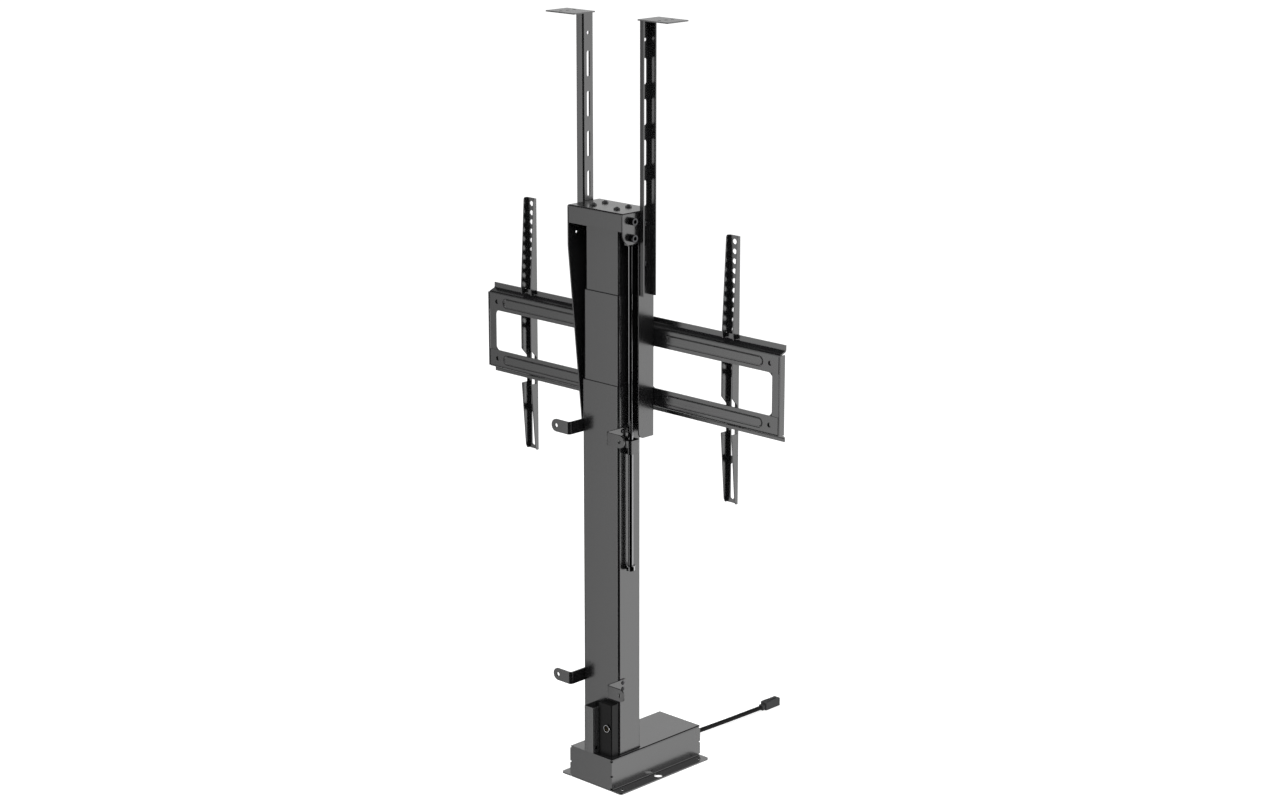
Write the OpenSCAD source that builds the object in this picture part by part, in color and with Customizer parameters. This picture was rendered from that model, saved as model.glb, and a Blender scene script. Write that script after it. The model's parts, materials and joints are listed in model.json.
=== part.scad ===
// Motorised TV lift: three-stage telescopic column on a boxed foot, with a head
// bracket that carries the TV rails and two slotted brackets for a cabinet lid.
// X runs along the TV, -Y is the TV side, +Y is the cabinet back, +Z is up.
// The origin is on the floor, on the axis of the column. Lengths are millimetres.

/* [Column] */
// Outer tube, left to right
tube_w = 84; // [72:1:90]
// Outer tube, front to back
tube_d = 52; // [46:1:58]
// Wall of the three tubes
tube_wall = 1.5; // [1.2:0.1:1.8]
// Outside corner radius of the outer tube
tube_corner = 4; // [3:0.5:5]
// How much each side of the next tube is set in
stage_step = 2.5; // [2.3:0.1:2.8]
// Height of the outer tube's top edge
outer_top = 701; // [680:1:740]
// Height of the middle tube's top edge at rest
middle_top = 853; // [820:1:880]
// Height of the middle tube's bottom edge at rest
middle_bottom = 240; // [220:1:250]
// Height of the inner tube's bottom edge at rest
inner_bottom = 412; // [405:1:440]
// Travel down from rest of each stage
travel_down = 134; // [100:1:134]
// Travel up from rest of each stage
travel_up = 96; // [60:1:96]
// Length of a glide pad
glide_len = 46; // [30:1:60]
// Running gap between a glide pad and the tube it rubs on
glide_gap = 0.2; // [0.1:0.05:0.3]

/* [Drive] */
// Outside radius of the lower screw
lower_screw_r = 6; // [5:0.5:7]
// Outside radius of the hollow upper screw
upper_screw_r = 11; // [10:0.5:12]
// Radial running gap of a screw in its nut or bearing
screw_fit = 0.05; // [0.02:0.01:0.1]
// Gearbox width
gearbox_w = 54; // [48:1:64]
// Gearbox length, front to back
gearbox_len = 62; // [54:1:70]
// Gearbox height
gearbox_h = 40; // [36:1:42]
// Motor can radius
motor_r = 20; // [16:1:21]
// Motor can length
motor_len = 92; // [80:1:96]

/* [Base] */
// Box width, left to right
base_w = 100; // [90:1:110]
// Box height
base_h = 57; // [54:1:66]
// Distance of the box's back face behind the column axis
base_back = 52; // [45:1:60]
// Distance of the box's front face ahead of the column axis
base_front = 168; // [160:1:190]
// Width of a floor flange
flange_w = 22; // [20:1:30]
// Floor bolt hole radius
floor_hole_r = 3.4; // [3:0.1:5]
// Distance of the end floor bolts from the flange's ends
floor_hole_inset = 15; // [11:1:16]
// Radius of the big hole in the middle of each flange
floor_middle_r = 7.5; // [4:0.5:7.5]
// Distance of the big holes ahead of the column axis
floor_middle_front = 50; // [40:1:70]
// Open gap round the column where it enters the box
column_gap = 1.5; // [1:0.1:2]

/* [Sheet metal] */
// Thickness of the base, head and rail sheet
sheet = 2.5; // [2:0.1:3]
// Thickness of the lighter sheet: TV arms, lid brackets, sleeve
thin_sheet = 2; // [1.5:0.1:2.2]
// Bend radius on a sheet's middle line
bend_r = 2.5; // [2:0.1:3]

/* [Wall tabs] */
// Tab height
tab_h = 21.5; // [16:0.5:26]
// Distance of a tab's ear behind the column axis
tab_reach = 57; // [50:1:66]
// Reach of an ear's rounded end from the middle
tab_span = 84; // [76:1:96]
// Ear hole radius
tab_hole_r = 3.5; // [2.5:0.5:4.5]
// Height of the upper tabs' centre
upper_tab_z = 621; // [600:1:640]
// Height of the lower tabs' centre
lower_tab_z = 181; // [165:1:220]
// Overlap of a tab on the tube's side
tab_overlap = 13; // [11:1:16]

/* [Head bracket] */
// Head bracket width
head_w = 126; // [124:0.5:130]
// Height of the cap's top face at rest
head_top = 993; // [992:1:1020]
// Height of the head bracket's bottom edge at rest
head_bottom = 612; // [600:1:640]
// Distance of the head's front face ahead of the column axis
head_front = 37; // [34:1:42]
// Distance of the head's back face behind the column axis
head_back = 37.5; // [35:0.5:44]
// Height of the cap's back lip
head_lip_h = 30; // [24:1:36]
// Height at which the long gusset starts to taper
gusset_start = 925; // [880:1:940]
// Depth of the gusset's bottom edge behind the axis
gusset_foot = 6.4; // [4:0.2:12]
// Back edge of the cut-back side plate
side_back = 0; // [-4:0.5:2]

/* [Stop rod] */
// Rod radius
rod_r = 4.5; // [3:0.5:5]
// Rod axis, sideways from the middle
rod_x = 50.5; // [49.5:0.5:51]
// Rod axis, behind the column axis
rod_y = 6.5; // [5:0.5:7.5]
// Height of the rod's bottom end at rest
rod_bottom = 383; // [370:1:391]
// Sleeve height
sleeve_h = 23.5; // [18:0.5:24]
// Sleeve bottom edge
sleeve_z = 586.5; // [586.5:0.5:590]
// Sleeve length, front to back
sleeve_len = 23.5; // [22:0.5:26]
// Sleeve back face behind the axis
sleeve_back = 15.5; // [14:0.5:17]
// Sleeve outer face, sideways from the middle
sleeve_x = 58; // [57.5:0.5:59]

/* [TV rails] */
// Half length of the rail frame
rail_half = 336; // [300:1:360]
// Top of the hanging lip
rail_top = 808; // [804:1:812]
// Bottom of the lower lip
rail_low = 650; // [646:1:654]
// Height of one flat rail
rail_flat_h = 30; // [28:1:31]
// How far the lips stand ahead of the flat
lip_step = 13.6; // [13:0.1:14]
// Height of a lip's sloping step, top lip
top_step_h = 5; // [4:0.5:6]
// Height of the upright part of the top lip
top_lip_h = 10; // [9:0.5:11]
// Height of the lower lip's sloping step
low_step_h = 4; // [3.5:0.5:5]
// Height of the upright part of the lower lip
low_lip_h = 8; // [7:0.5:9]
// Width of the upright strip at a rail end
end_strip_w = 14; // [10:1:20]
// How far the end strips lie ahead of the rails' back face
end_strip_drop = 1; // [0.5:0.1:1.2]
// Depth of the folded end flange
end_flange_d = 11; // [8:0.5:12]
// Slot between the strip and the end flange
end_slot_w = 1.5; // [1:0.5:3]
// Half width of the plate behind the head
rail_core_half = 56; // [52:1:60]
// Corner radius of the windows
window_r = 8; // [4:1:12]
// Depth of a pressed bead
bead_depth = 1.2; // [0.6:0.1:1.3]
// Width of a bead's sloping sides
bead_slope = 2; // [1.2:0.1:2.5]
// Height of a pressed bead
bead_h = 14.5; // [10:0.5:15]
// Bead start from the middle
bead_in = 88; // [84:1:100]
// Bead end from the middle
bead_out = 298; // [260:1:304]
// Radius of the pressed buttons beyond the beads' ends
rail_hole_r = 4; // [3:0.1:4.5]
// Depth of the pressed buttons
rail_hole_d = 2.3; // [1:0.1:2.6]

/* [TV arms] */
// Arm width
arm_w = 25; // [22:1:32]
// Arm length
arm_len = 443; // [430:1:460]
// Height of the arm's bottom edge at rest
arm_bottom = 524; // [516:1:528]
// Front face of the arms ahead of the column axis
arm_front = 58.5; // [58:0.5:60]
// Flange depth at the arm's top
arm_top_d = 8.2; // [7.5:0.1:12]
// Flange depth at the arm's bottom
arm_low_d = 8.7; // [8:0.1:12]
// Gap between an arm's flange and the rail's front face
arm_clear = 2; // [1.6:0.1:2.2]
// Arm centre on the +X side
arm_left_x = 246; // [190:1:246]
// Arm centre on the -X side
arm_right_x = 219; // [190:1:246]
// TV hole radius
arm_hole_r = 4.5; // [3:0.5:4.5]
// TV hole spacing
arm_pitch = 16; // [14:1:18]
// Number of TV holes
arm_holes = 14; // [8:1:14]

/* [Lid brackets] */
// Height of the top plates at rest
lid_top = 1301; // [1280:1:1320]
// Height of the channel's bottom edge at rest
lid_bottom = 853; // [840:1:860]
// Channel width, front to back
lid_web = 24; // [22:1:28]
// Middle of the channel, ahead of the column axis
lid_mid = 12.5; // [11:0.5:14]
// Height of the wide flange
lid_wide = 15; // [12:0.5:18]
// Height of the narrow flange
lid_narrow = 10; // [8:0.5:12]
// Top plate, sideways
lid_plate_w = 66; // [50:1:80]
// Top plate reach on the wide flange's side
lid_plate_front = 32.5; // [26:0.5:40]
// Top plate reach on the narrow flange's side
lid_plate_back = 17; // [14:0.5:26]
// Slot length
lid_slot = 42; // [34:1:44]
// Slot spacing
lid_pitch = 65.5; // [60:0.5:66]
// Number of slots
lid_slots = 6; // [4:1:6]
// Slot half width
lid_slot_r = 3.5; // [3.2:0.1:4]
// How far each flange's edge leans out of square
lid_splay = 0.3; // [0:0.1:0.6]

/* [Cable] */
// Cable diameter
cable_d = 8; // [5:0.5:9]
// Connector size, along the cable
plug_len = 46; // [36:1:56]
// Connector height
plug_h = 15; // [12:0.5:16]
// Connector width
plug_w = 13.5; // [10:0.5:18]

/* [Column back] */
// Wire cover width
wire_w = 23; // [18:0.5:28]
// Wire cover depth behind the tube
wire_d = 26; // [15:0.5:26]
// Wire cover height
wire_h = 82; // [70:1:90]
// Socket panel width
socket_w = 31; // [30:0.5:36]
// Socket panel height
socket_h = 94; // [74:1:98]
// Socket panel thickness
socket_d = 2.2; // [2:0.1:2.4]
// Width of the raised housing on the panel
house_w = 29.5; // [28:0.5:34]
// Height of the raised housing
house_h = 92; // [60:1:94]
// How far the housing stands behind the tube
house_d = 16; // [5:0.5:18]
// Handset socket radius
socket_r = 6.7; // [6:0.1:9]

/* [Hidden] */
$fn = 48;

coat = [0.20, 0.20, 0.21];
steel = [0.62, 0.63, 0.65];
brass_tone = [0.75, 0.62, 0.32];
black_plastic = [0.08, 0.08, 0.085];
green_board = [0.10, 0.32, 0.18];
eps = 0.01;

// Tubes
glide_t = stage_step - tube_wall - glide_gap;
mid_w = tube_w - 2 * stage_step;
mid_d = tube_d - 2 * stage_step;
mid_corner = tube_corner - 1;
in_w = mid_w - 2 * stage_step;
in_d = mid_d - 2 * stage_step;
in_corner = mid_corner - 1;
pad_w = 12;
guide_drop = 6;
foot_t = 4;
foot_side_gap = 0.25;
foot_half = base_w / 2 - sheet - (bend_r - sheet / 2) - foot_side_gap;
foot_top = base_h - sheet;
tube_side = tube_w / 2;
tube_back = tube_d / 2;
bore_wall_fit = 0.1;

// Drive
gearbox_top = foot_top - foot_t;
gearbox_bottom = gearbox_top - gearbox_h;
motor_z = gearbox_bottom + motor_r;
gear_screw_x = gearbox_w / 2 - 7;
gear_screw_y = tube_back - tube_wall - 4.7;
journal_depth = 20;
bearing_t = 7;
bearing_wall = 7;
collar_t = 4;
collar_grow = 3;
end_block_t = 18;
journal_wall = 2;
upper_bore = lower_screw_r + 0.6;
journal_r = upper_bore + journal_wall - 0.4;
nut_h = 12;
nut_grow = 3;
lower_screw_top = middle_bottom + travel_up + end_block_t + 26;
upper_screw_top = inner_bottom + travel_up + 52;
mid_bearing_t = 6;
boss_r = 2.5;

// Base
base_mid_y = (base_back - base_front) / 2;
base_len = base_back + base_front;
floor_hole_x = base_w / 2 + flange_w / 2 - 0.5;
floor_middle_x = floor_hole_x + 1;
notch = 3;
notch_z = [3.8, 26.9, base_h - 3.4];
board_z = 24;
board_t = 1.6;
board_w = 76;
board_len = 27;
board_y = -base_front + sheet + 2 + board_len / 2;
post_inset = 5;

// Wire cover and socket panel, standing on the base box behind the tube
wire_x0 = -7.3;
wire_t = 1.5;
wire_screw_r = 1.5;
wire_head_r = 3.3;
wire_head_t = 1.2;
wire_screws = [[tube_back + 7.3, wire_h - 9.6], [tube_back + wire_d - 6.1, 9.3]];
panel_x = wire_x0 - wire_head_t - 0.3;
house_x = panel_x - 1.5;
house_round = 2;
socket_x = house_x - 19.7;
socket_z = 49.5;
socket_out = 3;
socket_floor = 2;

// Tabs
tab_plate_x = tube_side + sheet / 2;
tab_ear_y = tab_reach - sheet / 2;
tab_front = tube_back - tab_overlap;
tab_round = tab_h / 2;
tab_hole_x = tab_span - tab_round;
tab_screw_y = tube_back - tab_overlap / 2;
tab_screw_dz = tab_h / 4;
small_screw_r = 2;
small_head_r = 3.6;
small_head_t = 1.8;
sleeve_bend = 3.7;

// Head
head_half = head_w / 2;
head_inner = head_half - sheet;
cap_under = head_top - sheet;
lobe_y = 19.5;
lobe_r = head_back - lobe_y - 1;
lobe_z = cap_under - 33;
hanger_bolt_y = lobe_y - 1.7;
hanger_bolt_z = [cap_under - 11.5, cap_under - 39];
hanger_bolt_r = 4;
hanger_head_r = 6.3;
hanger_head_t = 9;
hanger_t = 16;
hanger_low = lobe_z - 18;
hanger_plate_t = 6.5;
hanger_boss_r = 6.5;
hanger_boss_drop = 4;
hanger_bolt_len = 12;
base_notch_in = sheet + 1.2;
rod_top = hanger_low + 24;
stop_nut_h = 9;
stop_nut_z = rod_bottom + 1;
cap_screw_dx = 26.5;
cap_screw_dy = 13.5;
cap_screw_r = 3;
cap_head_r = 5.4;
cap_head_t = 4.2;
head_plate_t = 6;
foot_round = 11;
seam_w = 0.8;
gusset_hole_y = 18.6;
gusset_hole_z = head_top - 48;

// Rail frame: the sheet's middle line, seen along X
rail_face = head_front + sheet / 2;
lip_face = rail_face + lip_step;
flat_top = rail_top - top_lip_h - top_step_h;
flat_low = rail_low + low_lip_h + low_step_h;
window_top = flat_top - rail_flat_h;
window_low = flat_low + rail_flat_h;
window_out = rail_half - sheet - end_slot_w - end_strip_w;
upper_mid_z = window_top + rail_flat_h / 2;
lower_mid_z = window_low - rail_flat_h / 2;
rail_hole_in = bead_in - 11;
rail_hole_out = bead_out + 16;
rail_bolt_x = 30;
rail_bolt_r = 4;
rail_bolt_head_r = 7;
rail_bolt_head_t = 4;
rail_nut_t = 5.5;

// Arms
arm_top = arm_bottom + arm_len;
arm_hole_z = arm_top - 10;
arm_back = head_front + sheet + arm_clear;
arm_slot_gap = 0.5;
arm_neck = lip_face + sheet / 2 + arm_slot_gap + 0.2;
hook_back = arm_back + 1.5;
step_rise = (sheet / 2) * norm([lip_step, top_step_h]) / lip_step;
arm_slot_r = 4;
slot_end_gap = 12;
long_slot_top = arm_hole_z - (arm_holes - 1) * arm_pitch - slot_end_gap;
long_slot_low = arm_bottom + 77;
short_slot_top = long_slot_low - 2 * arm_slot_r - 2;
short_slot_low = arm_bottom + 6;

// Lid brackets
lid_hole_z = lid_top - 33.5;
lid_slot_top = lid_top - 62.5;
clamp_z = [for (k = [4, 5]) lid_slot_top - k * lid_pitch - 5.5];
clamp_head_r = 5.2;
clamp_head_t = 3;
clamp_r = 3;
lid_hole_r = 3;

// Cable: a route of points chosen by hand, from the gland to the connector
cable_x = 15;
cable_exit_z = 11;
cable_r = cable_d / 2;
gland_len = 22;
gland_neck_r = cable_r + 1.5;
plug_neck = 8;
plug_floor = 0.3;
cable_start = [cable_x, -base_front - gland_len, cable_exit_z];
cable_route = [cable_start, [15, -201, 10.6], [14.9, -212, 10.3], [14.9, -223, 10], [14.9, -234, 9.6],
    [14.9, -246, 9.3], [14.8, -257, 9], [14.8, -268, 8.7], [14.8, -279, 8.4], [14.8, -290, 8.2],
    [14.7, -301, 7.9], [14.7, -312, 7.7], [14.7, -323, 7.5], [14.7, -334, 7.3], [14.6, -345, 7.2],
    [14.6, -357, 7], [14.6, -368, 6.9], [14.6, -379, 6.7], [14.5, -390, 6.6], [14.5, -401, 6.5]];
cable_end = cable_route[len(cable_route) - 1];

// A rectangle with round corners, centred
module round_rect(w, d, r) {
    square([w - 2 * r, d], center = true);
    square([w, d - 2 * r], center = true);
    for (x = [-1, 1], y = [-1, 1]) translate([x * (w / 2 - r), y * (d / 2 - r)]) circle(r);
}

// A slot with round ends, centred, its length along X
module slot_shape(length, r) {
    square([length - 2 * r, 2 * r], center = true);
    for (x = [-1, 1]) translate([x * (length / 2 - r), 0]) circle(r);
}

// Round bar along X, Y or Z from a start point
module bar_x(at, r, length) { translate(at) rotate([0, 90, 0]) cylinder(r = r, h = length); }
module bar_y(at, r, length) { translate(at) rotate([-90, 0, 0]) cylinder(r = r, h = length); }
module bar_z(at, r, length) { translate(at) cylinder(r = r, h = length); }

// Extrude an outline drawn in Y and Z along X, from x0 to x1
module along_x(x0, x1) {
    translate([x0, 0, 0]) rotate([90, 0, 90]) linear_extrude(x1 - x0) children();
}

// Extrude an outline drawn in X and Z along Y, from y0 to y1
module along_y(y0, y1) {
    translate([0, y1, 0]) rotate([90, 0, 0]) linear_extrude(y1 - y0) children();
}

// Folded sheet: a path of corner points becomes a strip of even thickness with round bends
function unit(v) = v / norm(v);
function turned(v) = [-v[1], v[0]];
function bend(a, b, c, r, n) =
    let (u = unit(a - b), v = unit(c - b), half = acos(u * v) / 2,
        centre = b + unit(u + v) * r / sin(half),
        p = b + u * r / tan(half) - centre, q = b + v * r / tan(half) - centre)
    [for (i = [0 : n]) let (m = unit(p * (n - i) + q * i) * r) centre + m];
function bent_path(pts, r, n) = concat([pts[0]],
    [for (i = [1 : len(pts) - 2]) each bend(pts[i - 1], pts[i], pts[i + 1], r, n)],
    [pts[len(pts) - 1]]);
function side_of(path, i) =
    let (last = len(path) - 1,
        a = i > 0 ? unit(path[i] - path[i - 1]) : unit(path[1] - path[0]),
        b = i < last ? unit(path[i + 1] - path[i]) : a,
        m = unit(a + b))
    turned(m) / (m * a);
module folded(pts, t, r) {
    path = bent_path(pts, r, 4);
    n = len(path) - 1;
    polygon(concat([for (i = [0 : n]) path[i] + side_of(path, i) * t / 2],
        [for (i = [n : -1 : 0]) path[i] - side_of(path, i) * t / 2]));
}

// Button-head screw: domed head below or above its seat, head towards +Z
module button_screw(r, head_r, head_t, shank) {
    bar_z([0, 0, -shank], r, shank + eps);
    difference() {
        intersection() {
            bar_z([0, 0, 0], head_r, head_t);
            translate([0, 0, head_t - head_r * 1.6]) sphere(head_r * 1.6);
        }
        translate([0, 0, head_t * 0.45]) cylinder(r = head_r * 0.5, h = head_t, $fn = 6);
    }
}

// Socket-head bolt, head towards +Z
module socket_bolt(r, head_r, head_t, shank) {
    bar_z([0, 0, -shank], r, shank + eps);
    difference() {
        bar_z([0, 0, 0], head_r, head_t);
        translate([0, 0, head_t / 2]) cylinder(r = head_r * 0.55, h = head_t, $fn = 6);
    }
}

// Square tube standing from z0 to z1
module square_tube(w, d, corner, z0, z1) {
    inner_corner = corner - tube_wall / 2;
    difference() {
        translate([0, 0, z0]) linear_extrude(z1 - z0) round_rect(w, d, corner);
        translate([0, 0, z0 - 1]) linear_extrude(z1 - z0 + 2)
            round_rect(w - 2 * tube_wall, d - 2 * tube_wall, inner_corner);
    }
}

// Four pairs of glide pads on the outside of a w by d tube
module outside_pads(w, d, z) {
    for (s = [-1, 1], k = [-1, 1]) {
        translate([s * (w / 2 + glide_t / 2), k * d / 4, z + glide_len / 2])
            cube([glide_t, pad_w, glide_len], center = true);
        translate([k * w / 4, s * (d / 2 + glide_t / 2), z + glide_len / 2])
            cube([pad_w, glide_t, glide_len], center = true);
    }
}

// The same pads on the inside of a w by d opening
module inside_pads(w, d, z) {
    for (s = [-1, 1], k = [-1, 1]) {
        translate([s * (w / 2 - glide_t / 2), k * d / 4, z + glide_len / 2])
            cube([glide_t, pad_w, glide_len], center = true);
        translate([k * w / 4, s * (d / 2 - glide_t / 2), z + glide_len / 2])
            cube([pad_w, glide_t, glide_len], center = true);
    }
}

// Base box

function floor_hole_rows() = [base_back - floor_hole_inset, -base_front + floor_hole_inset];

module base_cover() color(coat) {
    edge = base_w / 2 - sheet / 2;
    mid = sheet / 2;
    out = base_w / 2 + flange_w;
    difference() {
        along_y(-base_front, base_back)
            folded([[-out, mid], [-edge, mid], [-edge, base_h - mid], [edge, base_h - mid],
                [edge, mid], [out, mid]], sheet, bend_r);
        translate([0, 0, base_h - 2 * sheet]) linear_extrude(3 * sheet)
            round_rect(tube_w + 2 * column_gap, tube_d + 2 * column_gap, tube_corner + column_gap);
        for (s = [-1, 1], y = floor_hole_rows()) bar_z([s * floor_hole_x, y, -1], floor_hole_r, sheet + 2);
        for (s = [-1, 1]) bar_z([s * floor_middle_x, -floor_middle_front, -1], floor_middle_r, sheet + 2);
        for (s = [-1, 1], e = [-1, 1])
            translate([s * out, e > 0 ? base_back : -base_front, -1]) corner_cut(6, sheet + 2, s, e);
        // Small square notches where the end plates are let in
        for (s = [-1, 1], y = [-base_front, base_back], z = notch_z)
            base_notch(s, y, z);
    }
}

module base_notch(s, y, z)
    translate([s * base_w / 2, y, z]) cube([2 * base_notch_in, 2 * notch, notch], center = true);

// What is cut off to round a plate's corner, the corner being at the origin
module corner_cut(r, h, sx, sy) {
    difference() {
        translate([sx > 0 ? -r : -1, sy > 0 ? -r : -1, 0]) cube([r + 1, r + 1, h]);
        translate([-sx * r, -sy * r, -1]) cylinder(r = r, h = h + 2);
    }
}

module base_plate() color(coat)
    translate([-base_w / 2 + sheet, -base_front, 0]) cube([base_w - 2 * sheet, base_len, sheet]);

module base_end_plates() color(coat) {
    wide = base_w - 2 * sheet;
    tall = base_h - 2 * sheet;
    difference() {
        for (y = [base_back - sheet, -base_front])
            translate([0, y + sheet, sheet]) rotate([90, 0, 0]) linear_extrude(sheet)
                translate([0, tall / 2]) round_rect(wide, tall, bend_r - sheet / 2);
        bar_y([cable_x, -base_front - 1, cable_exit_z], gland_neck_r, sheet + 2);
        for (s = [-1, 1], y = [-base_front, base_back], z = notch_z) base_notch(s, y, z);
    }
}

module column_foot() color(coat) difference() {
    translate([-foot_half, -base_back + sheet, gearbox_top])
        cube([2 * foot_half, 2 * (base_back - sheet), foot_t]);
    bar_z([0, 0, gearbox_top - 1], lower_screw_r + 2, foot_t + 2);
    for (x = [-1, 1], y = [-1, 1]) bar_z([x * gear_screw_x, y * gear_screw_y, gearbox_top - 1], boss_r, foot_t + 2);
}

// Drive

module gearbox() color(black_plastic) difference() {
    union() {
        translate([0, 0, gearbox_bottom]) linear_extrude(gearbox_h) round_rect(gearbox_w, gearbox_len, 6);
        for (x = [-1, 1], y = [-1, 1])
            bar_z([x * gear_screw_x, y * gear_screw_y, sheet], 5, gearbox_bottom - sheet + eps);
    }
    bar_z([0, 0, gearbox_top - journal_depth], lower_screw_r + screw_fit, journal_depth + 1);
    for (x = [-1, 1], y = [-1, 1]) bar_z([x * gear_screw_x, y * gear_screw_y, gearbox_top - 12], boss_r, 13);
}

module gearbox_screws() color(steel) for (x = [-1, 1], y = [-1, 1])
    translate([x * gear_screw_x, y * gear_screw_y, foot_top])
        button_screw(boss_r, boss_r + 1.7, 2.2, foot_t + 12);

module motor() color(steel) {
    front = -gearbox_len / 2;
    bar_y([0, front - motor_len, motor_z], motor_r, motor_len);
    bar_y([0, front - motor_len - 6, motor_z], motor_r * 0.45, 6 + eps);
}

module motor_cradle() color(coat) difference() {
    translate([-motor_r * 0.9, -gearbox_len / 2 - motor_len * 0.85, sheet])
        cube([motor_r * 1.8, motor_len * 0.25, motor_z - motor_r * 0.55 - sheet]);
    bar_y([0, -gearbox_len / 2 - motor_len - 1, motor_z], motor_r + bore_wall_fit, motor_len + 2);
}

module control_board() color(green_board)
    translate([-board_w / 2, board_y - board_len / 2, board_z]) cube([board_w, board_len, board_t]);

module board_posts() color(brass_tone) for (x = [-1, 1], y = [-1, 1])
    bar_z([x * (board_w / 2 - post_inset), board_y + y * (board_len / 2 - post_inset), sheet],
        3, board_z - sheet);

module board_parts() color(black_plastic) {
    top = board_z + board_t;
    translate([-30, board_y - 8, top]) cube([18, 15, 16]);
    translate([-6, board_y - 7, top]) cube([12, 12, 10]);
    bar_z([16, board_y, top], 6, 18);
    translate([25, board_y - 8, top]) cube([8, 12, 8]);
}

module thrust_bearing() color(steel) difference() {
    bar_z([0, 0, foot_top], lower_screw_r + bearing_wall, bearing_t);
    bar_z([0, 0, foot_top - 1], lower_screw_r + screw_fit, bearing_t + 2);
}

module lower_screw() color(steel) {
    bottom = gearbox_top - journal_depth + 1;
    bar_z([0, 0, bottom], lower_screw_r, lower_screw_top - bottom);
    bar_z([0, 0, foot_top + bearing_t + bore_wall_fit], lower_screw_r + collar_grow, collar_t);
}

// Outer stage

module outer_tube() color(coat) difference() {
    square_tube(tube_w, tube_d, tube_corner, foot_top, outer_top);
    for (s = [-1, 1], z = [upper_tab_z, lower_tab_z], k = [-1, 1])
        bar_x([s > 0 ? tube_side - tube_wall - 1 : -tube_side - 1, tab_screw_y, z + k * tab_screw_dz],
            small_screw_r, tube_wall + 2);
}

module outer_guide() color(black_plastic)
    inside_pads(tube_w - 2 * tube_wall, tube_d - 2 * tube_wall, outer_top - guide_drop - glide_len);

// One wall tab on the +X side
module wall_tab(z) color(coat) difference() {
    translate([0, 0, z - tab_h / 2]) linear_extrude(tab_h)
        folded([[tab_plate_x, tab_front], [tab_plate_x, tab_ear_y], [tab_span, tab_ear_y]], sheet, bend_r + 1.5);
    for (k = [-1, 1])
        translate([tab_span, tab_reach - sheet - 1, z + k * tab_h / 2]) rotate([-90, 0, 0])
            corner_cut(tab_round, sheet + 2, 1, -k);
    bar_y([tab_hole_x, tab_reach - sheet - 1, z], tab_hole_r, sheet + 2);
    for (k = [-1, 1]) bar_x([tube_side - 1, tab_screw_y, z + k * tab_screw_dz], small_screw_r, sheet + 2);
}

module tab_upper_left() wall_tab(upper_tab_z);
module tab_upper_right() mirror([1, 0, 0]) wall_tab(upper_tab_z);
module tab_lower_left() wall_tab(lower_tab_z);
module tab_lower_right() mirror([1, 0, 0]) wall_tab(lower_tab_z);

module tab_screws() color(steel) for (s = [0, 1]) mirror([s, 0, 0])
    for (z = [upper_tab_z, lower_tab_z], k = [-1, 1])
        translate([tube_side + sheet, tab_screw_y, z + k * tab_screw_dz]) rotate([0, 90, 0])
            button_screw(small_screw_r, small_head_r, small_head_t, sheet + tube_wall);

module rod_sleeve() color(coat) {
    far = -sleeve_x + thin_sheet / 2;
    back = sleeve_back - thin_sheet / 2;
    front = sleeve_back - sleeve_len + thin_sheet / 2;
    difference() {
        translate([0, 0, sleeve_z]) linear_extrude(sleeve_h)
            folded([[-tube_side, back], [far, back], [far, front], [-tube_side, front]], thin_sheet, sleeve_bend);
        // Window low in the back wall, beside the tube
        translate([-tube_side - 11, back - thin_sheet, sleeve_z + 1.5]) cube([10, 2 * thin_sheet, 9.5]);
    }
}

module sleeve_bush() color(black_plastic) difference() {
    far = -sleeve_x + thin_sheet;
    front = sleeve_back - sleeve_len + thin_sheet;
    translate([far, front, sleeve_z + 3])
        cube([-tube_side - far, sleeve_len - 2 * thin_sheet, sleeve_h - 6]);
    corner = (sleeve_bend - thin_sheet / 2 + 0.2) * sqrt(2);
    bar_z([-rod_x, rod_y, sleeve_z], rod_r + screw_fit, sleeve_h);
    for (y = [front, front + sleeve_len - 2 * thin_sheet])
        translate([far, y, sleeve_z]) rotate([0, 0, 45]) cube([corner, corner, 3 * sleeve_h], center = true);
}

module wire_cover() color(coat) difference() {
    translate([0, 0, base_h]) linear_extrude(wire_h)
        folded([[wire_x0 + wire_t / 2, tube_back],
            [wire_x0 + wire_t / 2, tube_back + wire_d - wire_t / 2],
            [wire_x0 + wire_w - wire_t / 2, tube_back + wire_d - wire_t / 2],
            [wire_x0 + wire_w - wire_t / 2, tube_back]], wire_t, 1.5);
    for (s = wire_screws) bar_x([wire_x0 - 1, s[0], base_h + s[1]], wire_screw_r, wire_t + 2);
}

module wire_cover_screws() color(steel) for (s = wire_screws)
    translate([wire_x0, s[0], base_h + s[1]]) rotate([0, -90, 0])
        button_screw(wire_screw_r, wire_head_r, wire_head_t, 8);

// Flat panel with a raised housing, its far upright edge rounded
module socket_panel() color(black_plastic) difference() {
    union() {
        translate([panel_x - socket_w, tube_back, base_h]) cube([socket_w, socket_d, socket_h]);
        translate([0, 0, base_h]) linear_extrude(house_h) difference() {
            translate([house_x - house_w, tube_back]) square([house_w, house_d]);
            translate([house_x - house_w, tube_back + house_d]) edge_cut(house_round, -1, 1);
        }
    }
    bar_y([socket_x, tube_back + socket_floor, base_h + socket_z], socket_r, house_d);
}

module handset_socket() color(steel) {
    back = tube_back + socket_floor;
    floor_y = back + 1;
    deep = house_d - socket_floor + socket_out;
    difference() {
        bar_y([socket_x, back, base_h + socket_z], socket_r, deep);
        bar_y([socket_x, floor_y, base_h + socket_z], socket_r - 1.6, deep);
    }
    for (a = [0 : 72 : 288])
        bar_y([socket_x + 2.8 * cos(a), floor_y - eps, base_h + socket_z + 2.8 * sin(a)], 0.6, 4);
}

// Cable

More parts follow.
